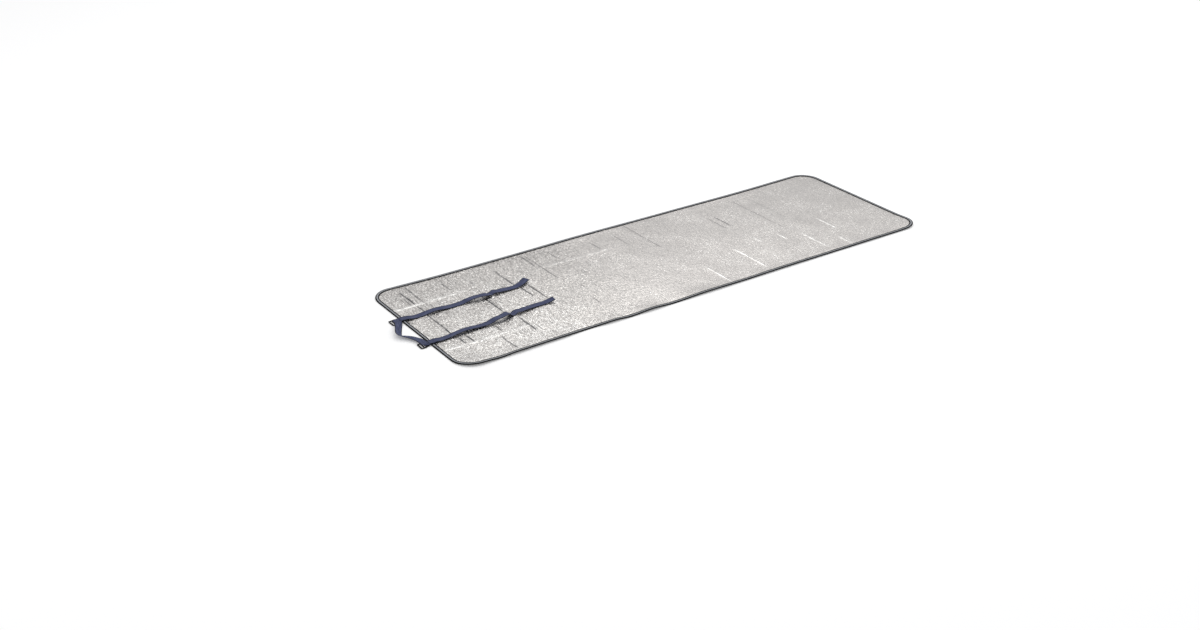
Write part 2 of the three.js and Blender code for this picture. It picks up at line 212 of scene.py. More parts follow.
# %% Camera
CAMERA_AIM = Vector((-0.3935, -0.2313, 0.0))
CAMERA_AZIMUTH = -34.01
CAMERA_ELEVATION = 27.74
CAMERA_DISTANCE = 4.4127
CAMERA_LENS = 42.51


def direction(azimuth, elevation):
    """Unit vector towards an azimuth (0 is -Y, 90 is +X) and an elevation, in degrees."""
    a, e = math.radians(azimuth), math.radians(elevation)
    return Vector((math.sin(a) * math.cos(e), -math.cos(a) * math.cos(e), math.sin(e)))


camera = bpy.data.objects.new("camera", bpy.data.cameras.new("camera"))
camera.data.lens = CAMERA_LENS
camera.location = CAMERA_AIM + CAMERA_DISTANCE * direction(CAMERA_AZIMUTH, CAMERA_ELEVATION)
camera.rotation_euler = (CAMERA_AIM - camera.location).to_track_quat("-Z", "Y").to_euler()
bpy.context.scene.collection.objects.link(camera)
bpy.context.scene.camera = camera
bpy.context.scene.view_settings.view_transform = "Standard"
print("camera at", [round(c, 3) for c in camera.location])

# %% Floor
FLOOR_HALF = 30.0
FLOOR_DEPTH = 0.1 * MM  # just under the mat, so that the two never share a plane
FLOOR_COLOUR = "#F4F4F4"
FLOOR_GLOW = 0.16  # light that only the camera and mirrors see, for a white ground

floor_mesh = bpy.data.meshes.new("floor")
floor_corners = [(-1, -1), (1, -1), (1, 1), (-1, 1)]
floor_points = [(x * FLOOR_HALF, y * FLOOR_HALF, -FLOOR_DEPTH) for x, y in floor_corners]
floor_mesh.from_pydata(floor_points, [], [(0, 1, 2, 3)])
floor = bpy.data.objects.new("floor", floor_mesh)
bpy.context.scene.collection.objects.link(floor)


def seen_rays(tree):
    """One for a ray from the camera or a mirror or through glass, nothing for any other."""
    path = add(tree, "ShaderNodeLightPath")
    seen = maths(tree, "MAXIMUM", path.outputs["Is Camera Ray"], path.outputs["Is Glossy Ray"])
    return maths(tree, "MAXIMUM", seen, path.outputs["Is Transmission Ray"])


# A painted studio floor: matt, nearly white, and it keeps the mat's shadow.
floor_paint, tree = finish_named("studio_floor_matt_paint")
matt = add(tree, "ShaderNodeBsdfDiffuse", {"Color": linear(FLOOR_COLOUR)})
glow_strength = maths(tree, "MULTIPLY", seen_rays(tree), FLOOR_GLOW)
glow = add(tree, "ShaderNodeEmission", {"Strength": glow_strength})
both = add(tree, "ShaderNodeAddShader", {0: matt.outputs["BSDF"], 1: glow.outputs["Emission"]})
output(tree, both.outputs["Shader"])
floor.data.materials.append(floor_paint)

# %% Light
# sine of the elevation, and the sky's colour there
SKY = [(0.05, "#FFFFFF"), (0.15, "#D2D4D6"), (0.34, "#ECECEE"), (0.5, "#D6D6D8"), (0.8, "#FFFFFF")]
SKY_STRENGTH = 0.95
LAMPS = {
    # name: (azimuth, elevation, distance m, width m, height m, watts)
    "over_back": (128, 50, 4.0, 3.6, 2.4, 40),
    "over_left": (-95, 50, 4.0, 3.0, 3.0, 5),
}

world = bpy.data.worlds.new("studio")
world.use_nodes = True
world.node_tree.nodes.clear()
tree = world.node_tree
looking = add(tree, "ShaderNodeTexCoord")
height = add(tree, "ShaderNodeSeparateXYZ", {"Vector": looking.outputs["Generated"]})
sky = ramp(tree, height.outputs["Z"], SKY)
lit = add(tree, "ShaderNodeBackground", {"Color": sky, "Strength": SKY_STRENGTH})
add(tree, "ShaderNodeOutputWorld", {"Surface": lit.outputs["Background"]})
bpy.context.scene.world = world

for name, (azimuth, elevation, distance, width, depth, watts) in LAMPS.items():
    lamp = bpy.data.lights.new(name, "AREA")
    lamp.shape = "RECTANGLE"
    lamp.size, lamp.size_y = width, depth
    lamp.energy = watts
    holder = bpy.data.objects.new(name, lamp)
    holder.location = distance * direction(azimuth, elevation)
    holder.rotation_euler = (-holder.location).to_track_quat("-Z", "Y").to_euler()
    bpy.context.scene.collection.objects.link(holder)
print("lamps:", ", ".join(LAMPS))

# %% [markdown]
# ## How the mat lies
#
# Unrolled from its strap end, the mat lies a little askew, its long edges ripple and sway and
# its corners curl up. Each of these is one row of a table, and the same functions place the
# sheet, the tape round it and the stitches on it, so they all follow each other.

# %% Sizes and the lie of the mat (millimetres)
LENGTH, WIDTH = 1850, 600
CORNER = 70
OUT_OF_SQUARE = 0.025
FOAM = 2.5
PINCHED = 1.0  # thickness of the foam where the tape holds it
TAPE = 1.0
TAPE_WIDTH = 12  # how far the folded tape reaches in from the edge
GAP = 0.3  # left between layers that are sewn together
RIM = 2.0  # the sheet's own edge lies this far inside the tape's fold
WEB = 1.0
WEB_WIDTH = 25
LIFT_REACH = 75  # how far in from an edge its ripples die out
SWAY_REACH = 160  # how far in from an edge its sway dies out

FRONT_EDGE = {
    "x": [-925, -808, -735, -610, -480, -389, -324, -246, -161, -25, 130, 300, 520, 690, 925],
    "lift": [1.5, 2.0, 5.0, 4.0, 0.4, 4.5, 0.8, 5.0, 0.4, 4.0, 2.2, 3.0, 1.6, 2.6, 0.6],
    "inward": [0, 0, 1, 3, 8, 3, 1, 0, 0, 0, 0, 1, 1, 0, 0],
}
BACK_EDGE = {
    "x": [-925, -640, -420, -120, 240, 560, 925],
    "lift": [0.5, 2.0, 0.3, 1.8, 0.3, 2.0, 0.3],
    "inward": [0, 9, 5, 3, 4, 9, 0],
}
CORNER_LIFT = {
    "x": [-880, 925, -925],
    "y": [-300, -300, 300],
    "lift": [4.5, 4.5, 1.5],
    "reach": [110, 130, 90],
}


def smooth(share):
    """3 s^2 - 2 s^3 between 0 and 1, level at both ends."""
    s = np.clip(share, 0, 1)
    return s * s * (3 - 2 * s)


def eased(table, column, at):
    """A table's value at a place between its rows, eased so that it is level at each row."""
    x, values = np.array(table["x"], float), np.array(table[column], float)
    row = np.clip(np.searchsorted(x, at) - 1, 0, len(x) - 2)
    share = smooth((at - x[row]) / (x[row + 1] - x[row]))
    return values[row] + share * (values[row + 1] - values[row])


def fading(distance, reach):
    """(1 - d / reach)^2: one at the edge, nothing at the reach."""
    return np.clip(1 - distance / reach, 0, 1) ** 2


def lift(x, y):
    """Height of the mat above the ground from its rippled edges and its curled corners."""
    front = eased(FRONT_EDGE, "lift", x) * fading(y + WIDTH / 2, LIFT_REACH)
    back = eased(BACK_EDGE, "lift", x) * fading(WIDTH / 2 - y, LIFT_REACH)
    corners = [
        height * (1 - smooth(np.hypot(x - cx, y - cy) / reach))
        for cx, cy, height, reach in zip(*CORNER_LIFT.values())
    ]
    return np.maximum(front, back) + np.maximum.reduce(corners)


def sway(edge, x, distance):
    """How far a long edge's sway moves a place inwards: all of it under the tape, then less."""
    fade = 1 - smooth((distance - TAPE_WIDTH) / (SWAY_REACH - TAPE_WIDTH))
    return eased(edge, "inward", x) * fade


def placed(x, y, z):
    """A place of the square mat (mm), moved to where it lies (metres)."""
    front = sway(FRONT_EDGE, x, y + WIDTH / 2)
    back = sway(BACK_EDGE, x, WIDTH / 2 - y)
    return MM * np.stack([x - OUT_OF_SQUARE * y, y + front - back, z + lift(x, y)], axis=-1)


print("front edge lifts by up to", max(FRONT_EDGE["lift"]), "mm")

# %% [markdown]
# ## The film
#
# The upper side is polyester film with a few hundred atoms' thickness of aluminium on it,
# laminated to the foam. It mirrors, but the foam's cells and each rolling up have left it full of
# small dents, so it looks silver grey with a fine sparkle. Two reliefs are laid over each other as
# bump: the emboss of the foam's cells and thin lines pressed across the mat by rolling it. Broad
# duller patches tint the metal, and so does painted light: painted sparkle that follows the same
# cells, painted glints at single dents, painted shade along troughs and lines and towards the back,
# and a painted highlight along ridges. Cells and lines fade away from the strap end. Under the mat
# the foam is bare.

# %% Film and foam finishes
# the first colour is painted shade for troughs and fine lines; the brightest, on the next line, is
# also a painted highlight along ridges
FILM_CREASE_SHADE, FILM_DARK, FILM_DULL = "#47484C", "#A9A6A2", "#CBC7C3"
FILM_PLAIN, FILM_CLEAR = "#DDD9D4", "#FCFAF6"
FILM_ROUGH = 0.22
ROUGH_FROM, ROUGH_TO, ROUGH_FAR = -0.65, 0.0, 0.3  # x (m) where the relief fades, and to what share

CELL_MM = (3.8, 10.0, 6.2)  # the real emboss is about 1.5 mm, drawn coarser to show from 4 m
CELL_DEPTH_MM = 2.8
LINE_MM = (3.2, 70.0, 50.0)  # the fine lines' thickness, their length across the mat, and height
LINE_DEPTH_MM = 0.4
LINES_SHOW, LINE_PATCHES = (0.56, 0.66), (0.4, 0.6)  # from what noise they show, and in which patches
# painted glints: single spots made bright in the colour, where a dent would catch the light
GLINT_MM = (4.2, 5.6, 5.0)  # single dents that catch the light
GLINTS_SHOW, GLINT_PATCHES = (0.64, 0.7), (0.42, 0.62)
PATCH_MM = 130.0

TONE_MIDDLE = 0.55
PATCH_GAIN, SPARKLE_GAIN, GLINT_GAIN = 0.2, 1.8, 0.55
# some stretches along the mat are made lighter or darker: from x, to x (m), change of tone before and
# after
TONE_STRETCHES = [(-0.6, -0.25, 0.04, -0.12), (0.0, 0.35, 0.0, 0.1)]
# painted shade: the film is made darker towards the back at the strap end, where it reflects less
# light
BACK_SHADE = 0.35  # tone lost for each metre towards the back, at the strap end
# painted shade along the fine lines pressed across the mat
LINE_SHADE = 0.45
CREASE_GAIN = 2.2

# Aluminium-coated polyester film: a broken mirror, warm silver grey, with painted sparkle and painted
# glints as bright and dark specks in its colour.
film, tree = finish_named("metallised_polyester_film_on_foam")
place = add(tree, "ShaderNodeTexCoord").outputs["Object"]
apart = add(tree, "ShaderNodeSeparateXYZ", {"Vector": place})
along, across = apart.outputs["X"], apart.outputs["Y"]
creased = add(tree, "ShaderNodeAttribute", attribute_name="crease").outputs["Fac"]

rough_end = between_values(tree, along, ROUGH_FROM, ROUGH_TO, 1.0, ROUGH_FAR)
cells = waves(tree, place, CELL_MM, detail=2.0, roughness=0.6)
patches = waves(tree, place, (PATCH_MM, PATCH_MM, PATCH_MM), detail=3.0)
lines = between_values(tree, waves(tree, place, LINE_MM, detail=1.0), *LINES_SHOW)
lines = maths(tree, "MULTIPLY", lines, between_values(tree, patches, *LINE_PATCHES))
# painted glints, in scattered patches
glints = between_values(tree, waves(tree, place, GLINT_MM, detail=1.0), *GLINTS_SHOW)
glints = maths(tree, "MULTIPLY", glints, between_values(tree, patches, *GLINT_PATCHES))

relief = maths(tree, "MULTIPLY", cells, CELL_DEPTH_MM * MM)
relief = maths(tree, "MULTIPLY_ADD", lines, -LINE_DEPTH_MM * MM, relief)
relief = maths(tree, "MULTIPLY", relief, rough_end)
bump = add(tree, "ShaderNodeBump", {"Height": relief, "Distance": 1.0, "Strength": 1.0})
# painted sparkle: the tone follows the emboss cells, as their reflections would
sparkle_tone = maths(tree, "MULTIPLY", maths(tree, "SUBTRACT", cells, 0.5), rough_end)
patch_tone = maths(tree, "SUBTRACT", patches, 0.5)
tone = maths(tree, "MULTIPLY_ADD", patch_tone, PATCH_GAIN, TONE_MIDDLE)
tone = maths(tree, "MULTIPLY_ADD", sparkle_tone, SPARKLE_GAIN, tone)
tone = maths(tree, "MULTIPLY_ADD", glints, GLINT_GAIN, tone)
for start, end, before, after in TONE_STRETCHES:
    tone = maths(tree, "ADD", tone, between_values(tree, along, start, end, before, after))
# painted shade towards the back, at the strap end
back_end = maths(tree, "MULTIPLY", across, rough_end)
tone = maths(tree, "MULTIPLY_ADD", back_end, -BACK_SHADE, tone)
film_colour = ramp(
    tree, tone, [(0.2, FILM_DARK), (0.45, FILM_DULL), (0.62, FILM_PLAIN), (0.85, FILM_CLEAR)]
)
# painted shade darkens the colour along each trough and fine line, where shade falls; a painted
# highlight lightens it along each ridge
crease_shade = maths(tree, "MULTIPLY", lines, maths(tree, "MULTIPLY", rough_end, LINE_SHADE))
crease_shade = maths(tree, "MULTIPLY_ADD", creased, -CREASE_GAIN, crease_shade, use_clamp=True)
ridge_highlight = maths(tree, "MULTIPLY", creased, CREASE_GAIN, use_clamp=True)
film_colour = mixed(tree, crease_shade, film_colour, linear(FILM_CREASE_SHADE))
film_colour = mixed(tree, ridge_highlight, film_colour, linear(FILM_CLEAR))
surface(tree, film_colour, FILM_ROUGH, bump.outputs["Normal"], Metallic=1.0)

# Closed-cell polyethylene foam, skived: pale, matt, with fine pores.
FOAM_COLOUR = "#D8D9D8"
PORE_MM, PORE_DEPTH_MM = 1.2, 0.2
foam, tree = finish_named("closed_cell_polyethylene_foam")
place = add(tree, "ShaderNodeTexCoord").outputs["Object"]
pores = waves(tree, place, (PORE_MM, PORE_MM, PORE_MM), detail=2.0)
surface(tree, linear(FOAM_COLOUR), 0.75, bumped(tree, pores, PORE_DEPTH_MM, 0.6))
print("film and foam ready")

# %% [markdown]
# ## The sheet
#
# One closed sheet: an upper and a lower grid of points that meet at the rim. Nested squares of
# the grid turn into arcs at the round corners. The upper face has troughs across the mat where it
# was rolled and ridges along it where its sides were folded in, each a row of a table, and a slow
# unevenness over all. The grid has extra lines at each crease, so that creases stay crisp.

# %% The sheet's creases and grid (millimetres)
ROLL_CREASES = np.array(
    [
        # x, from y, to y, depth: a trough is positive, a ridge negative
        (-850, 130, 200, 0.5),
        (-836, 85, 250, 0.8),
        (-840, -90, 65, 0.9),
        (-834, -160, -115, 0.7),
        (-808, -165, -115, 0.9),
        (-806, 130, 285, 0.5),
        (-725, -275, -180, 0.6),
        (-705, -155, -115, 0.6),
        (-695, 175, 245, 0.6),
        (-635, -40, 85, 0.8),
        (-615, -205, -110, 0.7),
        (-507, 100, 225, 0.7),
        (-499, 0, 68, 0.8),
        (-470, -45, 70, 0.8),
        (-376, 175, 293, 0.45),
        (-362, 60, 265, 0.4),
        (-352, -165, -120, 0.4),
        (-281, 190, 255, 0.4),
        (-119, 165, 230, 0.35),
        (-20, 145, 235, 0.35),
        (58, 70, 290, 0.35),
        (84, -290, -150, -0.6),
        (252, -260, -95, -0.7),
        (342, 70, 160, 0.4),
        (369, 75, 160, 0.5),
        (369, -95, -55, -0.6),
        (456, -125, -80, -0.6),
        (512, -30, 235, 0.25),
        (528, -255, -120, -0.7),
        (577, 30, 240, 0.15),
        (615, -290, -210, -0.6),
        (659, -150, -55, -0.7),
    ]
)
FOLD_RIDGES = np.array(
    [
        # y, from x, to x, height
        (144, -915, -820, 1.9),
        (145, -820, -670, 0.9),
        (150, -390, -100, 0.3),
        (-166, -915, -850, 1.7),
        (-170, -850, -595, 0.8),
    ]
)
CREASE_WIDTH = 1.6  # distance at which a crease has lost two thirds of its depth
RIDGE_WIDTH = 4.5
CREASE_FADE = 30  # length over which a crease runs out at its ends
CREASE_LINES = np.array([-5.5, -3.0, -1.2, 0.0, 1.2, 3.0, 5.5])  # grid lines beside a crease
STEP = 6.5  # of the grid elsewhere
WANDER_POINTS = 64
WAVE_SIZES = (230, 150, 95, 60)
WAVE_SHARE = 0.0006  # height of a slow wave as a share of its length
RELIEF_START = 20  # distance inside the tape over which the relief grows


def between(at, start, end):
    """One between two places, easing to nothing over CREASE_FADE at each of them."""
    up = smooth((at - start) / CREASE_FADE + 0.5)
    down = smooth((at - end) / CREASE_FADE + 0.5)
    return up * (1 - down)


def wandering(at, size, amount, seed):
    """A slow random wander along a line: points every `size`, eased between."""
    steps = np.random.default_rng(seed).uniform(-amount, amount, WANDER_POINTS)
    place = np.asarray(at) / size + WANDER_POINTS // 2
    low = np.floor(place).astype(int) % (WANDER_POINTS - 1)
    return steps[low] + smooth(place % 1) * (steps[low + 1] - steps[low])


def wobble(at, seed):
    """A crease wanders by about a millimetre and is deeper here, shallower there."""
    return wandering(at, 35, 1.2, seed), 0.7 + np.abs(wandering(at, 28, 0.6, seed + 50))


def creases(x, y):
    """Relief of the upper face: -depth * exp(-d / width) at each trough, plus for each ridge."""
    height = np.zeros_like(x)
    for row, (at, start, end, depth) in enumerate(ROLL_CREASES):
        aside, strength = wobble(y, row)
        off = np.abs(x - at - aside)
        height -= depth * strength * np.exp(-off / CREASE_WIDTH) * between(y, start, end)
    for row, (at, start, end, rise) in enumerate(FOLD_RIDGES):
        aside, strength = wobble(x, row + 40)
        broken = 0.25 + np.abs(wandering(x, 22, 0.9, row + 70))
        off = np.abs(y - at - 2 * aside)
        height += rise * strength * broken * np.exp(-off / RIDGE_WIDTH) * between(x, start, end)
    return height


def unevenness(x, y):
    """Slow waves of a sheet that has been rolled: a few sines with random directions."""
    chosen = np.random.default_rng(3)
    height = np.zeros_like(x)
    for size in WAVE_SIZES:
        angle, phase = chosen.uniform(0, 2 * math.pi, 2)
        along_wave = x * math.cos(angle) + y * math.sin(angle)
        height += size * np.sin(along_wave * 2 * math.pi / size + phase)
    return height * WAVE_SHARE


def spread(lines, side):
    """Grid places over one side of the sheet: even steps, with the given lines put in."""
    half = side / 2 - RIM
    even = np.linspace(-half, half, int(side / STEP))
    lines = np.sort(np.concatenate([lines, [TAPE_WIDTH - side / 2, side / 2 - TAPE_WIDTH]]))
    lines = lines[np.diff(lines, prepend=-np.inf) > 0.5]
    clear = np.abs(even[:, None] - lines[None, :]).min(axis=1) > STEP / 2.6
    return np.sort(np.concatenate([even[clear], lines]))


across_lines = (ROLL_CREASES[:, :1] + CREASE_LINES).ravel()
along_lines = (FOLD_RIDGES[:, :1] + CREASE_LINES).ravel()
grid_x = spread(across_lines, LENGTH)
grid_y = spread(along_lines, WIDTH)
print("sheet grid", len(grid_x), "by", len(grid_y))


# %% The sheet
def rounded(x, y):
    """Round corners: in a corner's square, nested squares become arcs about the same centre."""
    a = np.abs(x) - (LENGTH / 2 - CORNER)
    b = np.abs(y) - (WIDTH / 2 - CORNER)
    radius = np.maximum(a, b)
    low, high = np.minimum(a, b), np.where(radius == 0, 1, radius)
    turn = np.where(a >= b, low / high, 2 - low / high) * math.pi / 4
    corner = (a > 0) & (b > 0)
    new_x = np.where(corner, LENGTH / 2 - CORNER + radius * np.cos(turn), np.abs(x))
    new_y = np.where(corner, WIDTH / 2 - CORNER + radius * np.sin(turn), np.abs(y))
    return np.sign(x) * new_x, np.sign(y) * new_y


gx, gy = np.meshgrid(grid_x, grid_y, indexing="ij")
inset = np.minimum(LENGTH / 2 - np.abs(gx), WIDTH / 2 - np.abs(gy))
sheet_x, sheet_y = rounded(gx, gy)
plain = smooth((inset - TAPE_WIDTH - GAP) / (TAPE_WIDTH - GAP))
lower_z = (TAPE + GAP) * (1 - plain)
inside = smooth((inset - TAPE_WIDTH) / RELIEF_START)
crease_z = creases(sheet_x, sheet_y) * inside
relief_z = crease_z + unevenness(sheet_x, sheet_y) * inside
upper_z = (TAPE + GAP + PINCHED) * (1 - plain) + FOAM * plain + relief_z
upper = placed(sheet_x, sheet_y, upper_z)
lower = placed(sheet_x, sheet_y, lower_z)

rows, columns = gx.shape
count = rows * columns
top_faces = grid_faces(rows, columns)[:, ::-1]
under_faces = grid_faces(rows, columns, start=count)
ring = np.concatenate(
    [
        np.arange(rows - 1) * columns,
        (rows - 1) * columns + np.arange(columns - 1),
        np.arange(rows - 1, 0, -1) * columns + columns - 1,
        np.arange(columns - 1, 0, -1),
    ]
)
following = np.roll(ring, -1)
rim_faces = np.stack([ring, ring + count, following + count, following], axis=-1)[:, ::-1]
sheet = mesh_piece(
    "foil_sheet",
    np.concatenate([upper.reshape(-1, 3), lower.reshape(-1, 3)]),
    [top_faces, np.concatenate([under_faces, rim_faces])],
    [film, foam],
    shares={"crease": np.concatenate([crease_z.ravel(), np.zeros(count)])},
)
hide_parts("panel")

# %% [markdown]
# ## The edge tape
#
# A woven tape, 28 mm wide, is folded over the sheet's edge and sewn through both sides in one
# row. Its section is one closed outline: out along the top, round the fold, back underneath and
# in again round the inside of the fold. It is carried round the mat's edge, where the tape's
# inner edge wanders a little and puckers between the stitches, as sewn tape does.

# %% Tape finish
# the tape's grey, then painted shade for its inner edge and for its fold
TAPE_MIDDLE, TAPE_INNER_SHADE, TAPE_FOLD_SHADE = "#96989C", "#101114", "#040506"
TAPE_RIB_MM, TAPE_RIB_DEPTH_MM = 1.5, 0.12
CLOTH_GLOSS = 0.15  # yarns scatter light, so cloth has almost no gloss
TAPE_TOP_Z = 2 * TAPE + 2 * GAP + PINCHED
TAPE_CUT_WIDTH = 2 * TAPE_WIDTH + TAPE_TOP_Z


def ribs(tree, distance, pitch):
    """Ribs of woven yarn: sin(2 pi d / pitch), with the pitch in millimetres."""
    return maths(tree, "SINE", maths(tree, "MULTIPLY", distance, 2 * math.pi / (pitch * MM)))


# Woven polypropylene tape: grey over each side, with painted shade that makes it nearly black along
# the fold and dark again at its inner edge, where shade falls. The outside of its section runs from
# inner edge to inner edge over the fold.
tape_finish, tree = finish_named("woven_polypropylene_edge_tape")
cloth = add(tree, "ShaderNodeUVMap", uv_map="cloth").outputs["UV"]
parts = add(tree, "ShaderNodeSeparateXYZ", {"Vector": cloth})
rib = ribs(tree, parts.outputs["X"], TAPE_RIB_MM)
ribbed = bumped(tree, rib, TAPE_RIB_DEPTH_MM)
off_fold = maths(tree, "MULTIPLY_ADD", parts.outputs["Y"], 2 / (TAPE_CUT_WIDTH * MM), -1.0)
towards_edge = maths(tree, "ABSOLUTE", off_fold)
tape_colour = ramp(
    tree,
    towards_edge,
    [(0.37, TAPE_FOLD_SHADE), (0.43, TAPE_MIDDLE), (0.7, TAPE_MIDDLE), (0.78, TAPE_INNER_SHADE)],
)
surface(tree, tape_colour, 0.8, ribbed, Specular_IOR_Level=CLOTH_GLOSS)


# %% The edge tape
def round_marks(a, b, radius):
    """Distances round a rectangle with round corners at which its straights and arcs meet."""
    quarter = radius * math.pi / 2
    return np.cumsum([0, quarter, 2 * b, quarter, 2 * a, quarter, 2 * b, quarter, 2 * a])


def round_rectangle(s, marks, a, b):
    """Centre and outward angle at each distance s: straights and quarter arcs in turn."""
    cx = np.interp(s, marks, [a, a, a, a, -a, -a, -a, -a, a])
    cy = np.interp(s, marks, [-b, -b, b, b, b, b, -b, -b, -b])
    return cx, cy, np.interp(s, marks, np.radians([-90, 0, 0, 90, 90, 180, 180, 270, 270]))


def edge_line(step):
    """Distance, centre and outward angle at even steps round the mat's edge."""
    a, b = LENGTH / 2 - CORNER, WIDTH / 2 - CORNER
    marks = round_marks(a, b, CORNER)
    s = np.linspace(0, marks[-1], int(marks[-1] / step), endpoint=False)
    return s, *round_rectangle(s, marks, a, b)


def round_edge(cx, cy, angle, inset, z):
    """Places at a distance in from the edge, as points where the mat lies."""
    radius = CORNER - inset
    return placed(cx + radius * np.cos(angle), cy + radius * np.sin(angle), z)


FOLD_RADIUS = TAPE_TOP_Z / 2
SEAM_INSET = 9.0
SEAM_DIP, SEAM_DIP_WIDTH = 0.25, 0.9  # the seam's thread pulls the tape down by this much
fold = np.radians(np.linspace(90, 270, 11))
reach_in = np.array([1.0, 0.97, 0.86, 0.75, 0.64, 0.4, 0.2])
flat_in = FOLD_RADIUS + reach_in * (TAPE_WIDTH - FOLD_RADIUS)
outer_arc = FOLD_RADIUS * (1 + np.array([np.cos(fold), np.sin(fold)]))
inner_arc = FOLD_RADIUS + (FOLD_RADIUS - TAPE) * np.array([np.cos(fold), np.sin(fold)])
flats = len(flat_in)
section_inset = np.concatenate(
    [flat_in, outer_arc[0], flat_in[::-1], flat_in, inner_arc[0][::-1], flat_in[::-1]]
)
section_z = np.concatenate(
    [
        np.full(flats, TAPE_TOP_Z),
        outer_arc[1],
        np.zeros(flats),
        np.full(flats, TAPE),
        inner_arc[1][::-1],
        np.full(flats, TAPE_TOP_Z - TAPE),
    ]
)
section_v = np.concatenate([[0], np.cumsum(np.hypot(np.diff(section_inset), np.diff(section_z)))])

s, cx, cy, angle = edge_line(5.0)
share_in = (section_inset / TAPE_WIDTH)[None, :]
wander = wandering(s, 45, 0.45, 11)[:, None]
pucker = np.abs(wandering(s, 9, 0.35, 12))[:, None]
on_top = section_z > TAPE_TOP_Z - TAPE / 10
dip = SEAM_DIP * np.exp(-(((section_inset - SEAM_INSET) / SEAM_DIP_WIDTH) ** 2)) * on_top
tape_inset = section_inset[None, :] + wander * share_in**4
puckered = pucker * share_in**3 * (section_z > TAPE_TOP_Z / 2)[None, :]
tape_z = section_z[None, :] + puckered - dip[None, :]
tape_points = round_edge(cx[:, None], cy[:, None], angle[:, None], tape_inset, tape_z)
tape_uv = np.stack(np.broadcast_arrays(s[:, None] * MM, section_v[None, :] * MM), axis=-1)
tape_faces = grid_faces(*tape_inset.shape, wrap_rows=True, wrap_columns=True)
tape = mesh_piece("edge_tape", tape_points, [tape_faces], [tape_finish], uv=tape_uv)
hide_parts("binding")

# %% [markdown]
# ## Stitches
#
# A sewn seam is a row of short arches of thread. One arch is a small tube whose ends dive into
# the cloth; numpy repeats it along a line with the direction and the up direction at each place.

# %% Stitches
THREAD_RADIUS = 0.3
THREAD_RINGS, THREAD_SIDES = 5, 6
STITCH_LENGTH, STITCH_PITCH = 3.0, 4.0
STITCH_ARCH = 0.25
STITCH_DIVE = 0.8  # how deep an arch's ends lie in the cloth, in radii of the thread
PLY_MM, PLY_DEPTH_MM = 0.6, 0.1

# Twisted polyester thread: charcoal, with the faint light and dark of its plies.
thread_finish, tree = finish_named("twisted_polyester_thread")
place = add(tree, "ShaderNodeTexCoord").outputs["Object"]
ply = waves(tree, place, (PLY_MM, PLY_MM, PLY_MM), detail=1.0)
thread_colour = ramp(tree, ply, [(0.3, "#1B1C21"), (0.7, "#35363C")])
surface(tree, thread_colour, 0.5, bumped(tree, ply, PLY_DEPTH_MM, 0.6))


def stitching(name, middles, alongs, ups):
    """One arch of thread at each middle (metres): along * l * t + up * arch * (1 - t^2) - dive."""
    t = np.linspace(-1, 1, THREAD_RINGS)
    turn = np.arange(THREAD_SIDES) * 2 * math.pi / THREAD_SIDES
    sides = np.cross(ups, alongs)
    length = t * STITCH_LENGTH / 2 * MM
    height = (STITCH_ARCH * (1 - t**2) - THREAD_RADIUS * STITCH_DIVE) * MM
    line = (
        middles[:, None, :]
        + length[None, :, None] * alongs[:, None, :]
        + height[None, :, None] * ups[:, None, :]
    )
    ring = THREAD_RADIUS * MM * (
        np.cos(turn)[:, None] * sides[:, None, :] + np.sin(turn)[:, None] * ups[:, None, :]
    )
    points = line[:, :, None, :] + ring[:, None, :, :]
    tube = grid_faces(THREAD_RINGS, THREAD_SIDES, wrap_columns=True)
    halves = np.array([[0, 1, 2, 3], [0, 3, 4, 5]])
    last = (THREAD_RINGS - 1) * THREAD_SIDES
    one = np.concatenate([tube, halves[:, ::-1], halves + last])
    starts = np.arange(len(middles))[:, None, None] * THREAD_RINGS * THREAD_SIDES
    faces = (one[None, :, :] + starts).reshape(-1, 4)
    return mesh_piece(name, points, [faces], [thread_finish], sharp=80)


def directions(points):
    """Unit vectors along a row of points."""
    step = np.gradient(points, axis=0)
    return step / np.linalg.norm(step, axis=1, keepdims=True)


def box_stitches(middles, acrosses, start, long, wide):
    """Stitches of a box with a cross in it: a rectangle and its diagonals, laid on webbing (mm).

    Each side is cut into stitches, and a stitch's place is middle + up * thickness / 2 +
    across * v, where the middle is the one at the distance u along the webbing.
    """
    u0, u1, v = start, start + long, wide / 2
    outline = [(u0, -v), (u1, -v), (u1, v), (u0, v), (u0, -v)]
    corners = np.array([*outline, (u1, v), (u0, v), (u1, -v)])
    sides = [pair for pair in zip(corners[:-1], corners[1:]) if not np.allclose(pair[0], pair[1])]
    places, ways = [], []
    for first, last in sides:
        count = max(2, int(np.hypot(*(last - first)) / STITCH_PITCH))
        share = ((np.arange(count) + 0.5) / count)[:, None]
        places.append(first + share * (last - first))
        ways.append(np.repeat([(last - first) / np.hypot(*(last - first))], count, axis=0))
    places, ways = np.concatenate(places), np.concatenate(ways)
    run = np.concatenate([[0], np.cumsum(np.linalg.norm(np.diff(middles, axis=0), axis=1))])
    along = directions(middles)
    acrosses = acrosses / np.linalg.norm(acrosses, axis=1, keepdims=True)

    def at(values):
        return np.stack([np.interp(places[:, 0], run, values[:, i]) for i in range(3)], axis=1)

    tangent, across = at(along), at(acrosses)
    up = np.cross(tangent, across)
    middle = at(middles) + across * places[:, 1:] + up * (WEB / 2)
    way = tangent * ways[:, :1] + across * ways[:, 1:]
    return middle * MM, way, up


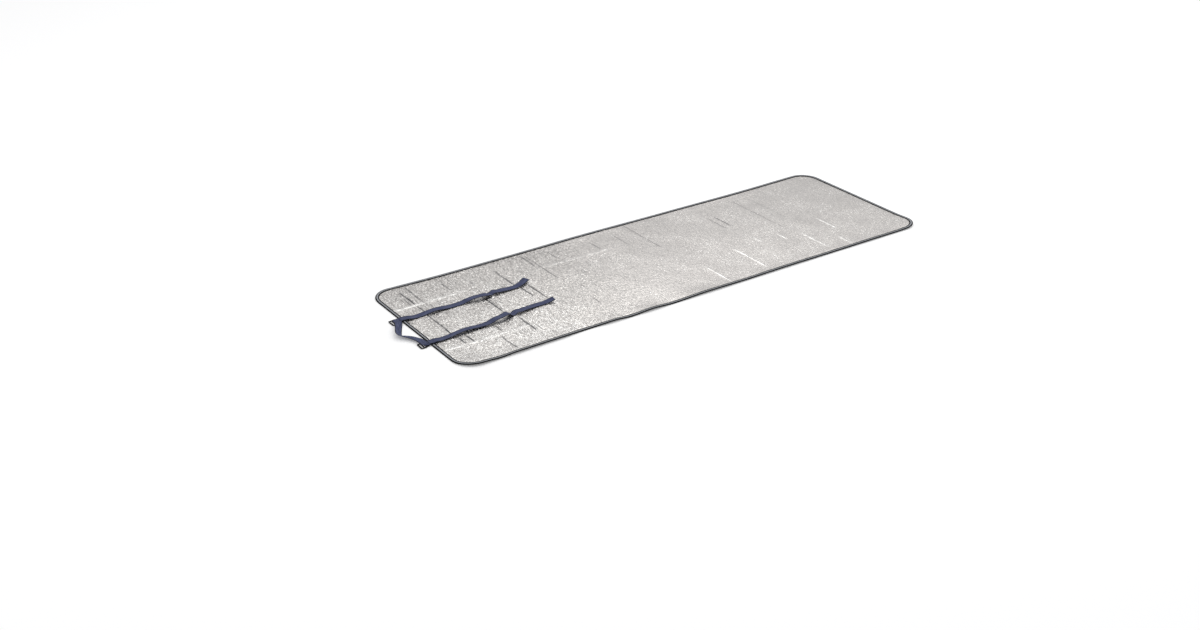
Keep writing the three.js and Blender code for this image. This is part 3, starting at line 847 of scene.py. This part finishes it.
s, cx, cy, angle = edge_line(STITCH_PITCH)
seam = round_edge(cx, cy, angle, SEAM_INSET, TAPE_TOP_Z)
along_seam = directions(seam)
inwards = round_edge(cx, cy, angle, SEAM_INSET + 1, TAPE_TOP_Z) - seam
ups = np.cross(along_seam, inwards)
ups /= np.linalg.norm(ups, axis=1, keepdims=True)
tape_seam = stitching("edge_tape_seam", seam, along_seam, ups)

# %% [markdown]
# ## Webbing
#
# The straps, the handle and the buckle loops are one kind of webbing, 25 mm wide and 1 mm thick.
# Each is a flat section with round selvedges carried along a route. The route's rows are listed
# places; a centripetal Catmull-Rom curve joins them, which never loops or overshoots
# where rows lie close together, as at the crimp where the strap was threaded.

# %% Webbing finish
NAVY, NAVY_WORN, NAVY_DEEP, SELVEDGE_SHADE = "#484E6B", "#61677F", "#32374F", "#10121D"
PICK_MM, WARP_MM, WEAVE_DEPTH_MM = 1.6, 1.25, 0.15
WEAR_MM = (30.0, 4.0, 10.0)
# painted shade darkens the webbing towards its selvedges
SELVEDGE_SHADE_FROM, SELVEDGE_SHADE_TO = 8.8, 11.6  # distances from the middle between which it darkens

# Woven polypropylene webbing: dull navy, a little paler where worn, and made nearly black at the
# selvedges by painted shade.
webbing_finish, tree = finish_named("woven_polypropylene_webbing_navy")
cloth = add(tree, "ShaderNodeUVMap", uv_map="cloth").outputs["UV"]
parts = add(tree, "ShaderNodeSeparateXYZ", {"Vector": cloth})
pick = ribs(tree, parts.outputs["X"], PICK_MM)
warp = ribs(tree, parts.outputs["Y"], WARP_MM)
weave = maths(tree, "MULTIPLY", pick, warp)
woven = bumped(tree, weave, WEAVE_DEPTH_MM)
wear = waves(tree, cloth, WEAR_MM, detail=3.0)
navy = ramp(tree, wear, [(0.28, NAVY_DEEP), (0.5, NAVY), (0.75, NAVY_WORN)])
off_middle = maths(tree, "ABSOLUTE", parts.outputs["Y"])
# painted shade at the selvedges
edge_shade_share = between_values(tree, off_middle, SELVEDGE_SHADE_FROM * MM, SELVEDGE_SHADE_TO * MM)
navy = mixed(tree, edge_shade_share, navy, linear(SELVEDGE_SHADE))
surface(tree, navy, 0.7, woven, Specular_IOR_Level=CLOTH_GLOSS)


# %% Webbing along a route
def catmull_rom(rows, per_row):
    """Centripetal Catmull-Rom curve through the rows, per_row points for each stretch.

    Knots are the square roots of the distances. Tangents at both ends of a stretch come from
    the rows on either side, and a cubic Hermite curve joins them.
    """
    p = np.concatenate([[2 * rows[0] - rows[1]], rows, [2 * rows[-1] - rows[-2]]])
    d = np.linalg.norm(np.diff(p, axis=0), axis=1)[:, None] ** 0.5
    d0, d1, d2 = d[:-2], d[1:-1], d[2:]
    p0, p1, p2, p3 = p[:-3], p[1:-2], p[2:-1], p[3:]
    m1 = ((p1 - p0) / d0 - (p2 - p0) / (d0 + d1) + (p2 - p1) / d1) * d1
    m2 = ((p2 - p1) / d1 - (p3 - p1) / (d1 + d2) + (p3 - p2) / d2) * d1
    t = (np.arange(per_row) / per_row)[None, :, None]
    p1, p2, m1, m2 = (v[:, None, :] for v in (p1, p2, m1, m2))
    curve = (
        p1
        + t * m1
        + t**2 * (3 * (p2 - p1) - 2 * m1 - m2)
        + t**3 * (2 * (p1 - p2) + m1 + m2)
    )
    return np.concatenate([curve.reshape(-1, rows.shape[1]), rows[-1:]])


def web_section():
    """Offsets across and through the webbing, in mm: a flat band with half-round selvedges."""
    r = WEB / 2
    flat = np.linspace(-1, 1, 9) * (WEB_WIDTH / 2 - r)
    turn = np.radians([60, 30, 0, -30, -60])
    right = np.array([WEB_WIDTH / 2 - r + r * np.cos(turn), r * np.sin(turn)])
    across = np.concatenate([flat, right[0], flat[::-1], -right[0]])
    level = np.full(len(flat), r)
    through = np.concatenate([level, right[1], -level, -right[1]])
    return across, through


def webbing(name, middles, acrosses):
    """A closed strip of webbing: middle + across * a + up * h at each place of the section."""
    along = directions(middles)
    acrosses = acrosses / np.linalg.norm(acrosses, axis=1, keepdims=True)
    up = np.cross(along, acrosses)
    across, through = web_section()
    points = (
        middles[:, None, :]
        + across[None, :, None] * acrosses[:, None, :]
        + through[None, :, None] * up[:, None, :]
    )
    run = np.concatenate([[0], np.cumsum(np.linalg.norm(np.diff(middles, axis=0), axis=1))])
    uv = np.stack(np.broadcast_arrays(run[:, None] * MM, across[None, :] * MM), axis=-1)
    rows, columns = points.shape[:2]
    body = grid_faces(rows, columns, wrap_columns=True)[:, ::-1]
    ends = [list(range(columns)), list(range(rows * columns - 1, (rows - 1) * columns - 1, -1))]
    piece = mesh_piece(name, points * MM, [[*body.tolist(), *ends]], [webbing_finish], uv=uv)
    print(f"  {run[-1]:.0f} mm long")
    return piece, run[-1]


def laid(table, per_row=12):
    """Middles and across directions of webbing laid along a table of x, y, z and tilt."""
    rows = np.array([table["x"], table["y"], table["z"]], float).T
    middles = catmull_rom(rows, per_row)
    at = np.linspace(0, len(rows) - 1, len(middles))
    tilt = np.radians(np.interp(at, np.arange(len(rows)), table["tilt"]))[:, None]
    along = directions(middles)
    level = np.stack([-along[:, 1], along[:, 0], np.zeros(len(along))], axis=1)
    level /= np.linalg.norm(level, axis=1, keepdims=True)
    return middles, level * np.cos(tilt) + np.cross(along, level) * np.sin(tilt)


# %% [markdown]
# ## The straps
#
# Each strap is sewn down at the short edge over the buckle's loop, and lies loosely along the
# mat: it arches where it was wound round the roll, and has a sharp crimp where it was threaded
# through the buckle. `height` is that of its underside over the sheet.

# %% The straps
MAT_TOP = FOAM + GAP
TAPE_TOP = 2 * TAPE + 3 * GAP + PINCHED
LAYER = WEB + GAP
ROOT = TAPE_TOP + 2 * LAYER - MAT_TOP  # height of a strap's sewn end, on the loop, over the sheet
STRAP_BOX = (3, 19, 18)  # where the box of stitches starts, its length and its width

STRAPS = {
    "back": {
        "x": [-926, -914, -902, -884, -862, -840, -812, -786, -750, -716, -682]
        + [-648, -621, -607, -597, -578, -560, -536, -512, -488, -460],
        "y": [79, 78, 76, 74, 75, 76, 76, 76.5, 75, 76, 77.5]
        + [73.5, 74, 78.5, 79, 78.5, 78, 78, 77.5, 84, 100.5],
        "height": [ROOT, ROOT, ROOT, 0.9, 0.2, 1.8, 4.6, 2.4, 0.2, 0.5, 5.4]
        + [8.4, 5.6, 0.5, 5.4, 3.4, 2.8, 1.0, 1.6, 4.5, 6.0],
        "tilt": [0, 0, 0, 0, 0, 0, -4, 0, 0, 0, -3] + [-4, 0, 0, 0, 0, 0, 0, 0, 0, 6],
    },
    "front": {
        "x": [-923.5, -911.5, -899.5, -882, -858, -830, -800, -772, -744, -716, -688]
        + [-660, -638, -624, -614, -605, -588, -560, -532, -504, -481, -463],
        "y": [-100, -101, -100, -100, -98, -95, -91.5, -91.5, -92.5, -94, -88.5]
        + [-86.5, -80.5, -79, -77.5, -76.5, -75.5, -72.5, -70, -69.5, -70.5, -73],
        "height": [ROOT, ROOT, ROOT, 1.4, 1.5, 3.0, 4.3, 3.6, 2.1, 3.6, 7.2]
        + [9.6, 9.8, 1.0, 0.4, 4.2, 3.2, 2.6, 1.4, 0.6, 3.4, 9.0],
        "tilt": [0, 0, 0, -2, -5, -7, -7, -6, -5, -3, -3] + [-4, 0, 0, 0, 0, 0, -3, 0, 0, 0, 0],
    },
}
for side, table in STRAPS.items():
    table["z"] = MAT_TOP + np.array(table["height"]) + WEB / 2
    middles, acrosses = laid(table)
    strap, length = webbing(f"strap_{side}_webbing", middles, acrosses)
    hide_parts(f"strap_{side}")
    tack = stitching(f"strap_{side}_stitches", *box_stitches(middles, acrosses, *STRAP_BOX))

# %% [markdown]
# ## The handle
#
# A loop of webbing outside the short edge. Its ends lie flat on the buckle loops, and between them
# its outer side stands up, most of all at the bend.

# %% The handle
HANDLE_END = TAPE_TOP + 2 * LAYER + WEB / 2
HANDLE_BOX_START, HANDLE_BOX_LONG, HANDLE_BOX_WIDE = 2.5, 14, 18
HANDLE = {
    "x": [-942.5, -942.5, -942.5, -948.5, -958.5, -969, -976]
    + [-975.5, -967, -956, -946.5, -940.5, -938.5, -938, -938],
    "y": [84, 74, 64, 51, 31, 10, -5] + [-17, -28, -40, -56, -72, -89, -98, -107],
    "z": [HANDLE_END, HANDLE_END, HANDLE_END, 7.4, 8.2, 8.8, 8.8]
    + [8.2, 7.4, 6.6, 6.2, 6.4, HANDLE_END, HANDLE_END, HANDLE_END],
    "tilt": [0, 0, 0, -21, -34, -38, -37] + [-29, -20, -14, -11, -6, 0, 0, 0],
}
middles, acrosses = laid(HANDLE)
handle, length = webbing("handle_webbing", middles, acrosses)
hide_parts("handle")
starts = (HANDLE_BOX_START, length - (HANDLE_BOX_START + HANDLE_BOX_LONG))
boxes = [
    box_stitches(middles, acrosses, start, HANDLE_BOX_LONG, HANDLE_BOX_WIDE) for start in starts
]
tack = stitching("handle_stitches", *(np.concatenate(parts) for parts in zip(*boxes)))

# %% [markdown]
# ## The buckles and their loops
#
# A ladder buckle is moulded in one piece: a frame with a middle bar, all with rounded edges, and
# curled up a little at its free end. The frame is an oval section carried round a rectangle with
# round corners, and the bar is the same section carried across. A short loop of webbing goes
# round the buckle's inner bar and back under the strap.

# %% Buckle finish
ACETAL = "#08080A"
GRAIN_MM, GRAIN_DEPTH_MM = 0.5, 0.03

# Moulded acetal: black, half glossy, with the faint grain of its mould.
plastic, tree = finish_named("moulded_black_acetal")
place = add(tree, "ShaderNodeTexCoord").outputs["Object"]
grain = waves(tree, place, (GRAIN_MM, GRAIN_MM, GRAIN_MM), detail=2.0)
grained = bumped(tree, grain, GRAIN_DEPTH_MM, 0.5)
surface(tree, linear(ACETAL), 0.4, grained, Specular_IOR_Level=0.25)

# %% Buckles
BUCKLE_WIDTH = 32.4
BUCKLE_THICK = 3.2
INNER_BAR, MIDDLE_BAR, OUTER_BAR = 3.2, 3.8, 5.0
SLOT_WIDE, SLOT_LONG = 4.8, 26
SIDE_BAR = (BUCKLE_WIDTH - SLOT_LONG) / 2
BUCKLE_LENGTH = INNER_BAR + MIDDLE_BAR + OUTER_BAR + 2 * SLOT_WIDE
BUCKLE_CORNER = 1.8
BUCKLE_INNER, BUCKLE_HEIGHT = 14, 3.2
BAR_OUT = BUCKLE_INNER + INNER_BAR / 2  # from the mat's edge to the middle of the inner bar
DROOP, CURL = 9, 2  # degrees, and rise of the free end
OVAL_POINTS, OVAL_POWER = 16, 3.2
OVAL_TURN = np.arange(OVAL_POINTS)[None, :] * 2 * math.pi / OVAL_POINTS
BAR_THINNER = 0.9  # the middle bar's thickness as a share of the frame's
SIDES = {"back": 78, "front": -102}


def oval(width, turn):
    """Offsets of a moulded bar's section: a superellipse, |x|^3.2 + |z|^3.2 = 1, scaled."""
    power = 2 / OVAL_POWER
    across = np.sign(np.cos(turn)) * np.abs(np.cos(turn)) ** power * width / 2
    through = np.sign(np.sin(turn)) * np.abs(np.sin(turn)) ** power * BUCKLE_THICK / 2
    return across, through


def outside(distance, y):
    """X of a place the given distance outside the short edge, at y."""
    return -LENGTH / 2 - distance - OUT_OF_SQUARE * y


def buckle_frame():
    """Points of the frame: its bars' middle line is a rectangle with arcs at its corners."""
    span = BUCKLE_LENGTH - INNER_BAR / 2 - OUTER_BAR / 2
    half = BUCKLE_WIDTH / 2 - SIDE_BAR / 2
    a, b = span / 2 - BUCKLE_CORNER, half - BUCKLE_CORNER
    marks = round_marks(a, b, BUCKLE_CORNER)
    s = np.concatenate([np.linspace(m, n, 7)[:-1] for m, n in zip(marks[:-1], marks[1:])])
    cx, cy, angle = round_rectangle(s, marks, a, b)
    ends = np.cos(angle)
    width = SIDE_BAR + np.clip(ends, 0, 1) ** 2 * (OUTER_BAR - SIDE_BAR)
    width += np.clip(-ends, 0, 1) ** 2 * (INNER_BAR - SIDE_BAR)
    across, through = oval(width[:, None], OVAL_TURN)
    x = (cx + span / 2)[:, None] + (BUCKLE_CORNER + across) * np.cos(angle)[:, None]
    y = cy[:, None] + (BUCKLE_CORNER + across) * np.sin(angle)[:, None]
    return np.stack([x, y, through + 0 * x], axis=-1)


def buckle_bar():
    """Points of the middle bar, from inside one side of the frame to inside the other."""
    y = np.linspace(-1, 1, 9)[:, None] * (SLOT_LONG / 2 + SIDE_BAR / 2)
    across, through = oval(MIDDLE_BAR, OVAL_TURN)
    x = INNER_BAR / 2 + SLOT_WIDE + MIDDLE_BAR / 2 + across + 0 * y
    return np.stack([x, y + 0 * across, BAR_THINNER * through + 0 * y], axis=-1)


def in_place(points, y):
    """The flat buckle curled up, drooped about its inner bar and turned to lie outwards."""
    share = np.clip(points[..., 0] / BUCKLE_LENGTH, 0, None)
    x, z = points[..., 0], points[..., 2] + CURL * share**2
    c, s = math.cos(math.radians(DROOP)), math.sin(math.radians(DROOP))
    out, up = c * x + s * z, c * z - s * x
    start = outside(BAR_OUT, y)
    return MM * np.stack([start - out, y - points[..., 1], BUCKLE_HEIGHT + up], axis=-1)


for side, y in SIDES.items():
    rim, bar = buckle_frame(), buckle_bar()
    rim_quads = grid_faces(*rim.shape[:2], wrap_rows=True, wrap_columns=True)
    first = rim.shape[0] * OVAL_POINTS
    bar_quads = grid_faces(*bar.shape[:2], wrap_columns=True, start=first)[:, ::-1]
    last = first + bar.shape[0] * OVAL_POINTS
    near_cap = list(range(first, first + OVAL_POINTS))
    far_cap = list(range(last - 1, last - 1 - OVAL_POINTS, -1))
    points = np.concatenate([in_place(rim, y).reshape(-1, 3), in_place(bar, y).reshape(-1, 3)])
    faces = [[*rim_quads.tolist(), *bar_quads.tolist(), near_cap, far_cap]]
    buckle = mesh_piece(f"buckle_{side}_moulding", points, faces, [plastic])
    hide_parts(f"buckle_{side}")

# %% The buckle loops
LOOP_LAP = 22  # how far a loop reaches in under its strap
HUG = GAP + WEB / 2 + 0.1  # from the surface of the buckle's bar to the middle of the webbing


def loop_route(y):
    """Middles of the loop's webbing: in under the strap, round the buckle's inner bar and back."""
    low, high = TAPE_TOP + WEB / 2, TAPE_TOP + WEB / 2 + LAYER
    turn = np.radians(np.linspace(-90, 90, 9))
    over, beyond = BUCKLE_THICK / 2 + HUG, INNER_BAR / 2 + HUG
    round_bar = np.array([BAR_OUT + beyond * np.cos(turn), BUCKLE_HEIGHT + over * np.sin(turn)]).T
    leaving = [(-LOOP_LAP, low), (-8, low), (1.5, low), (5.5, 3.2), (10, 1.2)]
    coming = [(10, high - 0.2), (1.5, high), (-8, high), (-LOOP_LAP, high)]
    rows = np.array([*leaving, *round_bar.tolist(), *coming])
    line = catmull_rom(rows, 5)
    return np.stack([outside(line[:, 0], y), np.full(len(line), float(y)), line[:, 1]], axis=1)


for side, y in SIDES.items():
    middles = loop_route(y)
    across = np.tile([0.0, -1.0, 0.0], (len(middles), 1))
    loop, length = webbing(f"buckle_loop_{side}", middles, across)
    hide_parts(f"loop_{side}")
